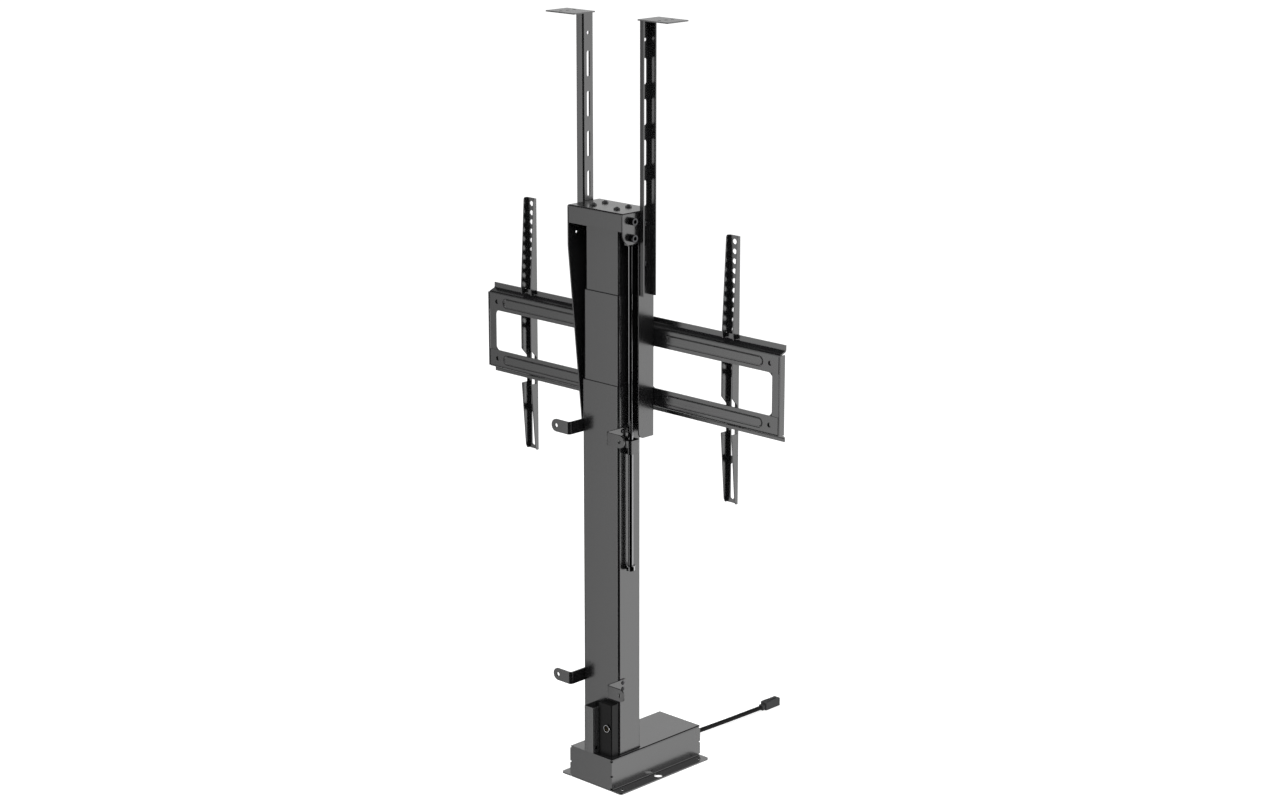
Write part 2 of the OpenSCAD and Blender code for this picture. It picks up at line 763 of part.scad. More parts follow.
// Moulded strain relief, its neck through the end plate and a collar inside
module cable_gland() color(black_plastic) {
    bar_y([cable_x, -base_front - eps, cable_exit_z], gland_neck_r, sheet + 2);
    bar_y([cable_x, -base_front + sheet, cable_exit_z], cable_r + 4, 2);
    translate([cable_x, -base_front, cable_exit_z]) rotate([90, 0, 0])
        cylinder(r1 = cable_r + 3.5, r2 = cable_r + 1.2, h = gland_len);
}

// One tube swept along the cable's route, eight sides, a ring at each point
function route_dir(i) = let (n = len(cable_route) - 1)
    unit(cable_route[min(i + 1, n)] - cable_route[max(i - 1, 0)]);
function ring(i, sides) =
    let (d = i == 0 || i == len(cable_route) - 1 ? [0, -1, 0] : route_dir(i),
        u = unit(cross(d, [0, 0, 1])), v = cross(u, d))
    [for (k = [0 : sides - 1]) let (a = 360 * (k + 0.5) / sides)
        cable_route[i] + cable_r * (cos(a) * u + sin(a) * v)];
module cable() color(black_plastic) {
    sides = 8;
    rings = len(cable_route);
    polyhedron(points = [for (i = [0 : rings - 1]) each ring(i, sides)],
        faces = concat([[for (k = [0 : sides - 1]) k]],
            [for (i = [0 : rings - 2], k = [0 : sides - 1]) each
                let (a = i * sides + k, b = i * sides + (k + 1) % sides)
                [[a, a + sides, b], [b, a + sides, b + sides]]],
            [[for (k = [sides - 1 : -1 : 0]) (rings - 1) * sides + k]]));
}

// In-line connector: a neck round the cable, a body and a latch on top
module cable_plug() color(black_plastic) {
    neck_w = cable_d + 2;
    back = cable_end[1] - plug_len;
    translate([cable_end[0] - neck_w / 2, cable_end[1] - plug_neck, cable_end[2] - neck_w / 2])
        cube([neck_w, plug_neck, neck_w]);
    translate([cable_end[0] - plug_w / 2, back, plug_floor]) cube([plug_w, plug_len - plug_neck + eps, plug_h]);
    translate([cable_end[0] - plug_w / 5, back + 6, plug_floor + plug_h - eps]) cube([plug_w * 0.4, 18, 1.5]);
}

// Middle stage

module middle_tube() color(coat) square_tube(mid_w, mid_d, mid_corner, middle_bottom, middle_top);

module middle_glides() color(black_plastic) outside_pads(mid_w, mid_d, middle_bottom + guide_drop);

module middle_guide() color(black_plastic)
    inside_pads(mid_w - 2 * tube_wall, mid_d - 2 * tube_wall, middle_top - guide_drop - glide_len);

module middle_end_block() color(black_plastic) difference() {
    translate([0, 0, middle_bottom]) linear_extrude(end_block_t)
        round_rect(mid_w - 2 * tube_wall, mid_d - 2 * tube_wall, mid_corner - tube_wall / 2);
    bar_z([0, 0, middle_bottom - 1], journal_r + screw_fit, end_block_t + 2);
}

module middle_bearing() color(steel) difference() {
    bar_z([0, 0, middle_bottom + end_block_t], journal_r + bearing_wall, mid_bearing_t);
    bar_z([0, 0, middle_bottom + end_block_t - 1], journal_r + screw_fit, mid_bearing_t + 2);
}

module upper_screw() color(steel) difference() {
    seat = middle_bottom + end_block_t + mid_bearing_t + bore_wall_fit;
    union() {
        bar_z([0, 0, middle_bottom - 4], journal_r, seat - middle_bottom + 4 + eps);
        bar_z([0, 0, seat], upper_screw_r, upper_screw_top - seat);
    }
    bar_z([0, 0, middle_bottom - 5], upper_bore, upper_screw_top - middle_bottom + 10);
}

module lower_nut() color(brass_tone) difference() {
    bar_z([0, 0, middle_bottom - 4 - nut_h], journal_r + nut_grow, nut_h);
    bar_z([0, 0, middle_bottom - 5 - nut_h], lower_screw_r + screw_fit, nut_h + 2);
}

// Inner stage and head

module inner_tube() color(coat) square_tube(in_w, in_d, in_corner, inner_bottom, cap_under);

module inner_glides() color(black_plastic) outside_pads(in_w, in_d, inner_bottom + guide_drop);

module inner_end_block() color(black_plastic) difference() {
    translate([0, 0, inner_bottom]) linear_extrude(end_block_t)
        round_rect(in_w - 2 * tube_wall, in_d - 2 * tube_wall, in_corner - tube_wall / 2);
    bar_z([0, 0, inner_bottom - 1], upper_screw_r + nut_grow, end_block_t + 2);
}

module upper_nut() color(brass_tone) difference() {
    union() {
        bar_z([0, 0, inner_bottom], upper_screw_r + nut_grow, end_block_t + 8);
        bar_z([0, 0, inner_bottom - 5], upper_screw_r + nut_grow + 3.5, 5);
    }
    bar_z([0, 0, inner_bottom - 6], upper_screw_r + screw_fit, end_block_t + 20);
}

module head_plate() color(steel) difference() {
    translate([0, 0, cap_under - head_plate_t]) linear_extrude(head_plate_t)
        round_rect(in_w - 2 * tube_wall, in_d - 2 * tube_wall, in_corner - tube_wall / 2);
    for (x = [-1, 1], y = [-1, 1])
        bar_z([x * cap_screw_dx, y * cap_screw_dy, cap_under - head_plate_t - 1], cap_screw_r, head_plate_t + 2);
}

module cap_screws() color(black_plastic) for (x = [-1, 1], y = [-1, 1])
    translate([x * cap_screw_dx, y * cap_screw_dy, head_top])
        button_screw(cap_screw_r, cap_head_r, cap_head_t, sheet + head_plate_t);

// Outline of the side plate that is cut back to clear the sleeve, with its bolt lobe
module side_outline() {
    translate([-head_front - 1, head_bottom - 1]) square([head_front + 1 + side_back - foot_round, cap_under - head_bottom]);
    translate([-head_front - 1, head_bottom + foot_round]) square([head_front + 1 + side_back, cap_under - head_bottom]);
    translate([side_back - foot_round, head_bottom + foot_round]) circle(foot_round);
    translate([side_back - 1, lobe_z]) square([head_back - side_back, head_top - lobe_z]);
    translate([side_back - 1, lobe_z - lobe_r]) square([lobe_y - side_back + 1, lobe_r + 1]);
    translate([lobe_y, lobe_z]) circle(lobe_r);
}

// An upright outline whose top corners are round, from a to b and from z0 to z1
module arched(a, b, z0, z1, r) {
    translate([a, z0]) square([b - a, z1 - z0 - r]);
    translate([a + r, z0]) square([b - a - 2 * r, z1 - z0]);
    for (x = [a + r, b - r]) translate([x, z1 - r]) circle(r);
}

module head_bracket() color(coat) difference() {
    intersection() {
        translate([0, 0, head_bottom]) linear_extrude(head_top - head_bottom) difference() {
            translate([-head_half, -head_front]) square([head_w, head_front + head_back]);
            for (s = [-1, 1]) translate([s * head_half, -head_front]) edge_cut(bend_r + 1.5, s, -1);
        }
        along_x(-head_half - 1, head_half + 1) arched(-head_front, head_back, head_bottom, head_top, bend_r + 1);
        along_y(-head_front - 1, head_back + 1) arched(-head_half, head_half, head_bottom, head_top, bend_r + 0.5);
    }
    // The hollow, open at the bottom, and at the back below the lip
    translate([-head_inner, -head_front + sheet, head_bottom - 1])
        cube([2 * head_inner, head_front + head_back - 2 * sheet, cap_under - head_bottom + 1]);
    translate([-head_inner, head_back - sheet - 1, head_bottom - 1])
        cube([2 * head_inner, sheet + 2, head_top - head_lip_h - head_bottom + 1]);
    // Back edges of the two side plates
    along_x(head_inner - 1, head_half + 1)
        polygon([[gusset_foot, head_bottom - 1], [gusset_foot, head_bottom], [head_back, gusset_start],
            [head_back + 1, gusset_start], [head_back + 1, head_bottom - 1]]);
    along_x(-head_half - 1, -head_inner + 1) difference() {
        translate([-foot_round - 2, head_bottom - 1])
            square([head_back + foot_round + 3, head_top - head_lip_h + 1 - head_bottom]);
        side_outline();
    }
    // Seams where the lip is folded down beside the side plates
    for (s = [-1, 1]) translate([s * head_inner - seam_w / 2, head_back - sheet - 0.5, head_top - head_lip_h - 1])
        cube([seam_w, sheet + 1.5, head_lip_h - bend_r - 1]);
    bar_x([head_inner - 1, gusset_hole_y, gusset_hole_z], 2.5, sheet + 2);
    for (x = [-1, 1], y = [-1, 1])
        bar_z([x * cap_screw_dx, y * cap_screw_dy, cap_under - 1], cap_screw_r, sheet + 2);
    for (z = hanger_bolt_z) bar_x([-head_half - 1, hanger_bolt_y, z], hanger_bolt_r, sheet + 2);
    for (s = [-1, 1], z = clamp_z) bar_x([s > 0 ? head_inner - 1 : -head_half - 1, -lid_mid, z], clamp_r, sheet + 2);
    for (s = [-1, 1], z = [upper_mid_z, lower_mid_z])
        bar_y([s * rail_bolt_x, -head_front - 1, z], rail_bolt_r, sheet + 2);
}

// What is cut off an outline to round its corner, the corner being at the origin
module edge_cut(r, sx, sy) difference() {
    translate([sx > 0 ? -r : -1, sy > 0 ? -r : -1]) square(r + 1);
    translate([-sx * r, -sy * r]) circle(r);
}

// A block behind the lip, a plate down to the lower bolt and a boss round the rod
module rod_hanger() color(coat) difference() {
    block_low = head_top - head_lip_h;
    union() {
        translate([-head_inner, side_back + 1, block_low])
            cube([hanger_t, lobe_y + 6 - side_back, cap_under - 4 - block_low]);
        translate([-head_inner, side_back + 1, hanger_low])
            cube([hanger_plate_t, lobe_y + 4.5 - side_back - 1, block_low - hanger_low + 1]);
        bar_z([-rod_x, rod_y, hanger_low - hanger_boss_drop], hanger_boss_r,
            block_low - hanger_low + hanger_boss_drop + 1);
    }
    for (z = hanger_bolt_z) bar_x([-head_inner - 1, hanger_bolt_y, z], hanger_bolt_r, hanger_t + 2);
    bar_z([-rod_x, rod_y, hanger_low - hanger_boss_drop - 1], rod_r, rod_top - hanger_low + hanger_boss_drop + 1);
}

module hanger_bolts() color(black_plastic) for (z = hanger_bolt_z)
    translate([-head_half, hanger_bolt_y, z]) rotate([0, -90, 0])
        socket_bolt(hanger_bolt_r, hanger_head_r, hanger_head_t, sheet + hanger_bolt_len);

module stop_rod() color(black_plastic) bar_z([-rod_x, rod_y, rod_bottom], rod_r, rod_top - rod_bottom);

module stop_nut() color(steel) difference() {
    union() {
        translate([-rod_x, rod_y, stop_nut_z]) cylinder(r = rod_r + 3, h = stop_nut_h - 1.5, $fn = 6);
        bar_z([-rod_x, rod_y, stop_nut_z + stop_nut_h - 1.5], rod_r + 3.5, 1.5);
    }
    bar_z([-rod_x, rod_y, stop_nut_z - 1], rod_r, stop_nut_h + 2);
}

module lid_clamp_screws() color(black_plastic) for (s = [0, 1]) mirror([s, 0, 0]) for (z = clamp_z)
    translate([head_half + thin_sheet, -lid_mid, z]) rotate([0, 90, 0])
        button_screw(clamp_r, clamp_head_r, clamp_head_t, thin_sheet + sheet + 3);

// TV rails

module rail_section() folded([[-lip_face, rail_top], [-lip_face, rail_top - top_lip_h], [-rail_face, flat_top],
    [-rail_face, flat_low], [-lip_face, rail_low + low_lip_h], [-lip_face, rail_low]], sheet, bend_r + 1.5);

// A slot-shaped block with sloping sides, from a half height r1 at y = 0 to r2 at y = -depth
module bead(length, r1, r2, depth) {
    straight = length / 2 - r1;
    along_x(-straight, straight) polygon([[0, -r1], [0, r1], [-depth, r2], [-depth, -r2]]);
    for (x = [-straight, straight]) translate([x, 0, 0]) rotate([90, 0, 0]) cylinder(r1 = r1, r2 = r2, h = depth);
}

module rail_frame() color(coat) {
    bead_len = bead_out - bead_in;
    bead_r = bead_h / 2;
    button_out = 1.2;
    bead_mid = (bead_in + bead_out) / 2;
    back = -head_front;
    lean = bead_slope / bead_depth;
    crease_in = bead_r + 0.3;
    crease_out = bead_r + 1.6;
    difference() {
        union() {
            along_x(-rail_half + 2, rail_half - 2) rail_section();
            for (s = [-1, 1]) {
                translate([s > 0 ? rail_half - sheet : -rail_half, back - end_flange_d, flat_low])
                    cube([sheet, end_flange_d, flat_top - flat_low]);
                for (z = [upper_mid_z, lower_mid_z]) {
                    translate([s * bead_mid, back - sheet + 0.5, z])
                        bead(bead_len + lean, bead_r + 0.5 * lean, bead_r - bead_slope, bead_depth + 0.5);
                    for (x = [rail_hole_in, rail_hole_out])
                        bar_y([s * x, back - sheet - button_out, z], rail_hole_r + 1, button_out + 0.5);
                }
            }
        }
        for (s = [-1, 1]) {
            translate([s * (rail_core_half + window_out) / 2, 0, (window_low + window_top) / 2])
                rotate([90, 0, 0]) linear_extrude(head_front + 20)
                    round_rect(window_out - rail_core_half, window_top - window_low, window_r);
            translate([s > 0 ? rail_half - sheet - end_slot_w : sheet - rail_half, back - sheet - 1.5, window_low])
                cube([end_slot_w, sheet + 2.5, window_top - window_low]);
            // Crease along the whole of the end flange's fold
            translate([s > 0 ? rail_half - sheet - end_slot_w : sheet - rail_half, back - 1.2, flat_low + 2])
                cube([end_slot_w, 2.2, flat_top - flat_low - 4]);
            translate([s > 0 ? window_out - 1 : sheet - rail_half, back - end_strip_drop, window_low])
                cube([rail_half - sheet - window_out + 1, end_strip_drop + 1, window_top - window_low]);
            for (z = [upper_mid_z, lower_mid_z]) {
                translate([s * bead_mid, back + 1, z])
                    bead(bead_len + 2 * lean, bead_r + lean, bead_r - bead_slope, bead_depth + 1);
                // Crease round the bead
                translate([s * bead_mid, 0, z]) along_y(back - 1.7, back + 1) difference() {
                    slot_shape(bead_len + 2 * (crease_out - bead_r), crease_out);
                    slot_shape(bead_len + 2 * (crease_in - bead_r), crease_in);
                }
                for (x = [rail_hole_in, rail_hole_out])
                    bar_y([s * x, back - rail_hole_d, z], rail_hole_r, rail_hole_d + 1);
                bar_y([s * rail_bolt_x, back - sheet - 1, z], rail_bolt_r, sheet + 2);
            }
        }
    }
}

module rail_bolts() color(steel) for (s = [-1, 1], z = [upper_mid_z, lower_mid_z]) {
    front = -head_front - sheet;
    bar_y([s * rail_bolt_x, front - rail_bolt_head_t, z], rail_bolt_head_r, rail_bolt_head_t);
    bar_y([s * rail_bolt_x, front - eps, z], rail_bolt_r, 2 * sheet + rail_nut_t);
    translate([s * rail_bolt_x, -head_front + sheet, z]) rotate([-90, 0, 0])
        cylinder(r = rail_bolt_head_r, h = rail_nut_t, $fn = 6);
}

// A TV arm centred on X = 0
module arm_outline() {
    f = -arm_front;
    polygon([[f, arm_bottom], [f, arm_top], [f + arm_top_d - 2, arm_top], [f + arm_top_d, arm_top - 3],
        [-arm_back - 0.5, rail_top + 5], [-hook_back, flat_top + 7],
        [-lip_face + sheet / 2 + arm_slot_gap, flat_top + top_step_h + 3],
        [-lip_face + sheet / 2 + arm_slot_gap, rail_top + 0.6], [-arm_neck, rail_top + 0.6],
        [-arm_neck, flat_top + top_step_h - step_rise - 4],
        [-arm_back, flat_top - step_rise - 1.5], [-arm_back, window_low + 12],
        [-arm_neck, window_low - 2], [-arm_neck, rail_low - 7], [-arm_back, rail_low - 7],
        [-arm_back, rail_low - 9], [f + arm_low_d, arm_bottom + 6], [f + arm_low_d - 3, arm_bottom]]);
}

module tv_arm() color(coat) difference() {
    edge = arm_w / 2 - thin_sheet / 2;
    web = -arm_front + thin_sheet / 2;
    intersection() {
        translate([0, 0, arm_bottom]) linear_extrude(arm_len)
            folded([[-edge, 0], [-edge, web], [edge, web], [edge, 0]], thin_sheet, 2);
        along_x(-arm_w, arm_w) arm_outline();
    }
    for (k = [0 : arm_holes - 1])
        bar_y([0, -arm_front - 1, arm_hole_z - k * arm_pitch], arm_hole_r, thin_sheet + 2);
    for (z = [[long_slot_low, long_slot_top], [short_slot_low, short_slot_top]])
        translate([0, -arm_front + thin_sheet + 1, (z[0] + z[1]) / 2]) rotate([90, 0, 0])
            linear_extrude(thin_sheet + 2) rotate(90) slot_shape(z[1] - z[0], arm_slot_r);
}

module tv_arm_left() translate([arm_left_x, 0, 0]) tv_arm();
module tv_arm_right() translate([-arm_right_x, 0, 0]) tv_arm();

// The -X lid bracket; the +X one is the same piece turned half a turn
module lid_bracket() color(coat) {
    web_x = -head_half - thin_sheet / 2;
    front = -lid_mid - lid_web / 2 + thin_sheet / 2;
    back = -lid_mid + lid_web / 2 - thin_sheet / 2;
    difference() {
        translate([0, 0, lid_bottom]) linear_extrude(lid_top - thin_sheet - lid_bottom + eps)
            folded([[-head_half - lid_wide, front - lid_splay], [web_x, front], [web_x, back],
                [-head_half - lid_narrow, back + lid_splay]], thin_sheet, 2);
        bar_x([-head_half - thin_sheet - 1, -lid_mid, lid_hole_z], lid_hole_r, thin_sheet + 2);
        for (k = [0 : lid_slots - 1])
            translate([-head_half - thin_sheet - 1, -lid_mid, lid_slot_top - k * lid_pitch - lid_slot / 2])
                rotate([90, 0, 90]) linear_extrude(thin_sheet + 2) rotate(90) slot_shape(lid_slot, lid_slot_r);
    }
    difference() {
        translate([-head_half - lid_plate_w / 2, -lid_mid + (lid_plate_back - lid_plate_front) / 2,
            lid_top - thin_sheet]) linear_extrude(thin_sheet)
                round_rect(lid_plate_w, lid_plate_front + lid_plate_back, 2);
        for (k = [-1, 0, 1])
            bar_z([-head_half - lid_plate_w * 0.6, -lid_mid - 7.5 + k * 15, lid_top - thin_sheet - 1],
                lid_hole_r, thin_sheet + 2);
    }
}

module lid_bracket_right() lid_bracket();
module lid_bracket_left() translate([0, -lid_mid, 0]) rotate([0, 0, 180]) translate([0, lid_mid, 0]) lid_bracket();

base_cover();
base_plate();
base_end_plates();
column_foot();
gearbox();
gearbox_screws();
motor();
motor_cradle();
control_board();
board_parts();
board_posts();
outer_tube();
outer_guide();
tab_upper_left();
tab_upper_right();
tab_lower_left();
tab_lower_right();
tab_screws();
rod_sleeve();
sleeve_bush();
wire_cover();
wire_cover_screws();
socket_panel();
handset_socket();
thrust_bearing();
cable_gland();
cable();
cable_plug();
lower_screw();
middle_tube();
middle_end_block();
middle_bearing();
middle_glides();
middle_guide();
upper_screw();
lower_nut();
inner_tube();
inner_end_block();
upper_nut();
inner_glides();
head_plate();
cap_screws();
head_bracket();
rod_hanger();
hanger_bolts();
stop_rod();
stop_nut();
lid_clamp_screws();
rail_frame();
rail_bolts();
lid_bracket_left();
lid_bracket_right();
tv_arm_left();
tv_arm_right();
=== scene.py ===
import json
import math

import bmesh
import bpy
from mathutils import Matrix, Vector


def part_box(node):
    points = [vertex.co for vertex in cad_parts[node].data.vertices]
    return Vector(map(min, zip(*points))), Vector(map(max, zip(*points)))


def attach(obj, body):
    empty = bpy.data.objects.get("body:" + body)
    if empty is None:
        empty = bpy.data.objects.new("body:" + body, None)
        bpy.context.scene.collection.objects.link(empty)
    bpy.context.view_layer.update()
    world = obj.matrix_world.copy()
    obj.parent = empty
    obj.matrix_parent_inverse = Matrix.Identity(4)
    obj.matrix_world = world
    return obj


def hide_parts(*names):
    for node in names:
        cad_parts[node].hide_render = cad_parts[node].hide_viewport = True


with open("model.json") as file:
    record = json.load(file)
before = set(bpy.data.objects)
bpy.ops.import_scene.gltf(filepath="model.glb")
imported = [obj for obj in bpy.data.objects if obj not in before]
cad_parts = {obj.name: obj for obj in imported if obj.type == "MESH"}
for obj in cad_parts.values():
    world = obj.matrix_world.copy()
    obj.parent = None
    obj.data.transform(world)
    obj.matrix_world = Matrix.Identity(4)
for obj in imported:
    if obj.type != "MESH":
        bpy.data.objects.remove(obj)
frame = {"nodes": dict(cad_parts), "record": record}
nodes = frame["nodes"]
bodyOfNode = {n: body for body, names in frame["record"]["behaviour"]["bodies"].items() for n in names}
slotOfNode = {s["node"]: s["material_slot"] for s in frame["record"]["subparts"]}
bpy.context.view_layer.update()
mm = 0.001

# Camera, as the photograph was taken
view = {
    "place": (-3.0158, 3.0665, 1.8127),
    "yaw": 43.992,      # degrees from -Y towards +X
    "down": 14.915,     # degrees below level
    "lens": 76.2,
    "sensor": 36.0,
    "near": 0.05,
    "far": 60,
}


def makeCamera():
    data = bpy.data.cameras.new("camera")
    data.lens = view["lens"]
    data.sensor_width = view["sensor"]
    data.sensor_fit = "HORIZONTAL"
    data.clip_start = view["near"]
    data.clip_end = view["far"]
    camera = bpy.data.objects.new("camera", data)
    bpy.context.scene.collection.objects.link(camera)
    yaw = math.radians(view["yaw"])
    down = math.radians(view["down"])
    ahead = Vector((math.sin(yaw) * math.cos(down), -math.cos(yaw) * math.cos(down), -math.sin(down)))
    camera.location = view["place"]
    camera.rotation_mode = "QUATERNION"
    camera.rotation_quaternion = ahead.to_track_quat("-Z", "Y")
    bpy.context.scene.camera = camera


makeCamera()
print("camera set")


# Shader maths: a wrapped socket takes part in plain expressions
class Value:
    def __init__(self, graph, socket):
        self.graph = graph
        self.socket = socket

    def combine(self, operation, first, second):
        return self.graph.add("ShaderNodeMath", {"operation": operation}, {0: first, 1: second})

    def __add__(self, other):
        return self.combine("ADD", self, other)

    def __radd__(self, other):
        return self.combine("ADD", other, self)

    def __sub__(self, other):
        return self.combine("SUBTRACT", self, other)

    def __rsub__(self, other):
        return self.combine("SUBTRACT", other, self)

    def __mul__(self, other):
        return self.combine("MULTIPLY", self, other)

    def __rmul__(self, other):
        return self.combine("MULTIPLY", other, self)


# A node tree that is filled by one method
class Graph:
    def __init__(self, tree):
        self.tree = tree
        tree.nodes.clear()

    def setStops(self, ramp, stops):
        ramp.elements[0].position = stops[0][0]
        ramp.elements[1].position = stops[-1][0]
        for stop in stops[1:-1]:
            ramp.elements.new(stop[0])
        for element, stop in zip(ramp.elements, stops):
            element.color = (stop[1], stop[1], stop[1], 1)

    def add(self, kind, settings=None, values=None, out=0):
        node = self.tree.nodes.new(kind)
        for name, value in (settings or {}).items():
            if name == "stops":
                self.setStops(node.color_ramp, value)
            else:
                setattr(node, name, value)
        for name, value in (values or {}).items():
            socket = node.inputs[name]
            if isinstance(value, Value):
                self.tree.links.new(value.socket, socket)
            elif isinstance(value, tuple) and len(value) == 3 and socket.type == "RGBA":
                socket.default_value = (*value, 1)
            else:
                socket.default_value = value
        return Value(self, node.outputs[out]) if len(node.outputs) else None


def newGraph(name):
    material = bpy.data.materials.new(name)
    material.use_nodes = True
    return material, Graph(material.node_tree)


# Where a point lies on its piece, by the piece's own axes
def ownPlace(graph):
    return graph.add("ShaderNodeTexCoord", out="Object")


def noise(graph, place, size, detail):
    return graph.add("ShaderNodeTexNoise", None, {"Vector": place, "Scale": size, "Detail": detail})


# Inputs 6 and 7 are a colour mix's two colours, and output 2 is the mixed one
def mixColours(graph, share, first, second):
    return graph.add("ShaderNodeMix", {"data_type": "RGBA"}, {0: share, 6: first, 7: second}, out=2)


def bumpFrom(graph, height, strength, distance):
    return graph.add("ShaderNodeBump", None, {"Strength": strength, "Distance": distance, "Height": height})


def closeMaterial(graph, settings):
    shader = graph.add("ShaderNodeBsdfPrincipled", None, settings)
    graph.add("ShaderNodeOutputMaterial", None, {"Surface": shader})


# Powder coat: near black, glossy enough to mirror the room, with a fine orange peel
coat = {
    "low": (0.006, 0.006, 0.0065),
    "high": (0.011, 0.011, 0.0115),
    "ior": 2.6,
    "roughLow": 0.19,
    "roughHigh": 0.26,
    "waveSize": 24.0,      # bumps per metre, as in the sizes below
    "speckSize": 260.0,
    "speckShare": 0.3,
    "peelSize": 520.0,
    "peelStrength": 0.05,
    "peelHeight": 0.4 * mm,
}


def coatedSteel(name, low, high):
    material, graph = newGraph(name)
    place = ownPlace(graph)
    cloud = noise(graph, place, coat["waveSize"], 4.0)
    speck = noise(graph, place, coat["speckSize"], 2.0)
    tone = mixColours(graph, cloud * (1 - coat["speckShare"]) + speck * coat["speckShare"], low, high)
    rough = coat["roughLow"] + cloud * (coat["roughHigh"] - coat["roughLow"])
    peel = noise(graph, place, coat["peelSize"], 1.5)
    bump = bumpFrom(graph, peel, coat["peelStrength"], coat["peelHeight"])
    closeMaterial(graph, {"Base Color": tone, "Roughness": rough, "Normal": bump, "IOR": coat["ior"]})
    return material


# Bare and plated metal: a slow change of tone, with fine marks of the tool
metal = {
    "cloudSize": 60.0,
    "grainSize": 2200.0,
    "grainHeight": 0.1 * mm,
    "dullShare": 0.82,      # how bright the dullest patches are beside the rest
    "roughSpread": 0.12,
}


def plainMetal(name, shade, rough, grainStrength=0.08):
    material, graph = newGraph(name)
    place = ownPlace(graph)
    cloud = noise(graph, place, metal["cloudSize"], 3.0)
    grain = noise(graph, place, metal["grainSize"], 2.0)
    tone = mixColours(graph, cloud, tuple(c * metal["dullShare"] for c in shade), shade)
    bump = bumpFrom(graph, grain, grainStrength, metal["grainHeight"])
    rough = rough + cloud * metal["roughSpread"]
    closeMaterial(graph, {"Base Color": tone, "Metallic": 1.0, "Roughness": rough, "Normal": bump})
    return material


# Moulded plastic and the cable's jacket: an even grain that also breaks up the gloss
plastic = {
    "cloudSize": 45.0,
    "grainSize": 900.0,
    "grainStrength": 0.12,
    "grainHeight": 0.2 * mm,
    "lightShare": 1.35,     # how bright the lightest patches are beside the rest
    "roughSpread": 0.12,
}


def mouldedPlastic(name, shade, rough):
    material, graph = newGraph(name)
    place = ownPlace(graph)
    cloud = noise(graph, place, plastic["cloudSize"], 3.0)
    grain = noise(graph, place, plastic["grainSize"], 2.0)
    tone = mixColours(graph, cloud, shade, tuple(c * plastic["lightShare"] for c in shade))
    bump = bumpFrom(graph, grain, plastic["grainStrength"], plastic["grainHeight"])
    rough = rough + grain * plastic["roughSpread"]
    closeMaterial(graph, {"Base Color": tone, "Roughness": rough, "Normal": bump})
    return material


# One look for each material slot
looks = {
    "black_coat": coatedSteel("blackCoat", coat["low"], coat["high"]),
    "black_steel": plainMetal("blackSteel", (0.13, 0.13, 0.135), 0.2),
    "zinc_steel": plainMetal("zincSteel", (0.56, 0.57, 0.59), 0.3),
    "brass": plainMetal("turnedBrass", (0.62, 0.45, 0.2), 0.28),
    "black_plastic": mouldedPlastic("blackPlastic", (0.004, 0.004, 0.0042), 0.42),
    "circuit_board": mouldedPlastic("boardGreen", (0.02, 0.11, 0.045), 0.3),
    "cable_jacket": mouldedPlastic("cableJacket", (0.002, 0.002, 0.002), 0.62),
    "bright_metal": plainMetal("brightRing", (0.78, 0.78, 0.79), 0.16),
}

# Nodes whose look is lighter or smoother than the rest of their slot; the lighter coat on the wire cover and
# cap screws is painted light, standing in for the brightness their faces catch
ownLooks = {
    # painted light: a paler coat stands in for the light that falls on the cover's side
    "wire_cover": coatedSteel("coverCoatPaintedLight", (0.03, 0.03, 0.031), (0.042, 0.042, 0.043)),
    # painted reflection: a paler coat stands in for the room light that the screw domes mirror
    "cap_screws": coatedSteel("screwCoatPaintedReflection", (0.035, 0.035, 0.036), (0.05, 0.05, 0.052)),
    "cable_plug": mouldedPlastic("connectorShell", (0.035, 0.035, 0.036), 0.45),
    "stop_rod": plainMetal("rodSteel", (0.5, 0.5, 0.51), 0.06, grainStrength=0.02),
}
ownLooks["stop_nut"] = ownLooks["stop_rod"]
print("materials made")


# Small helpers for modelling as by hand
def clearPick():
    for o in bpy.context.selected_objects:
        o.select_set(False)


def pickOnly(piece):
    clearPick()
    piece.select_set(True)
    bpy.context.view_layer.objects.active = piece


def applyModifiers(piece):
    pickOnly(piece)
    for modifier in list(piece.modifiers):
        bpy.ops.object.modifier_apply(modifier=modifier.name)


def bevelEdges(piece, width, segments=2, angle=32):
    modifier = piece.modifiers.new("edges", "BEVEL")
    modifier.width = width
    modifier.segments = segments
    modifier.limit_method = "ANGLE"
    modifier.angle_limit = math.radians(angle)
    modifier.use_clamp_overlap = True
    modifier.miter_outer = "MITER_ARC"


def evenShading(piece, angle=34):
    pickOnly(piece)
    bpy.ops.object.shade_smooth_by_angle(angle=math.radians(angle))
    weigh = piece.modifiers.new("normals", "WEIGHTED_NORMAL")
    weigh.mode = "FACE_AREA"
    weigh.keep_sharp = True
    weigh.weight = 80


# Shade a piece, apply what it still holds, and give it its slot's look and its body
def settle(piece, body, slotName, material=None):
    evenShading(piece)
    applyModifiers(piece)
    piece.data.materials.clear()
    piece.data.materials.append(material or looks[slotName])
    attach(piece, body)


# A round bar along Y; its turn says which end the cylinder starts from
def addBar(name, radius, length, centre, sides, turn=-90):
    bpy.ops.mesh.primitive_cylinder_add(vertices=sides, radius=radius, depth=length, location=centre,
                                        rotation=(math.radians(turn), 0, 0))
    piece = bpy.context.object
    piece.name = name
    bpy.ops.object.transform_apply(location=True, rotation=True, scale=True)
    return piece


def addBlock(name, low, high, edge, segments=3):
    low = Vector(low)
    high = Vector(high)
    bpy.ops.mesh.primitive_cube_add(size=1, location=(low + high) / 2, scale=high - low)
    piece = bpy.context.object
    piece.name = name
    bpy.ops.object.transform_apply(location=True, rotation=True, scale=True)
    if edge:
        bevelEdges(piece, edge, segments)
        applyModifiers(piece)
    return piece


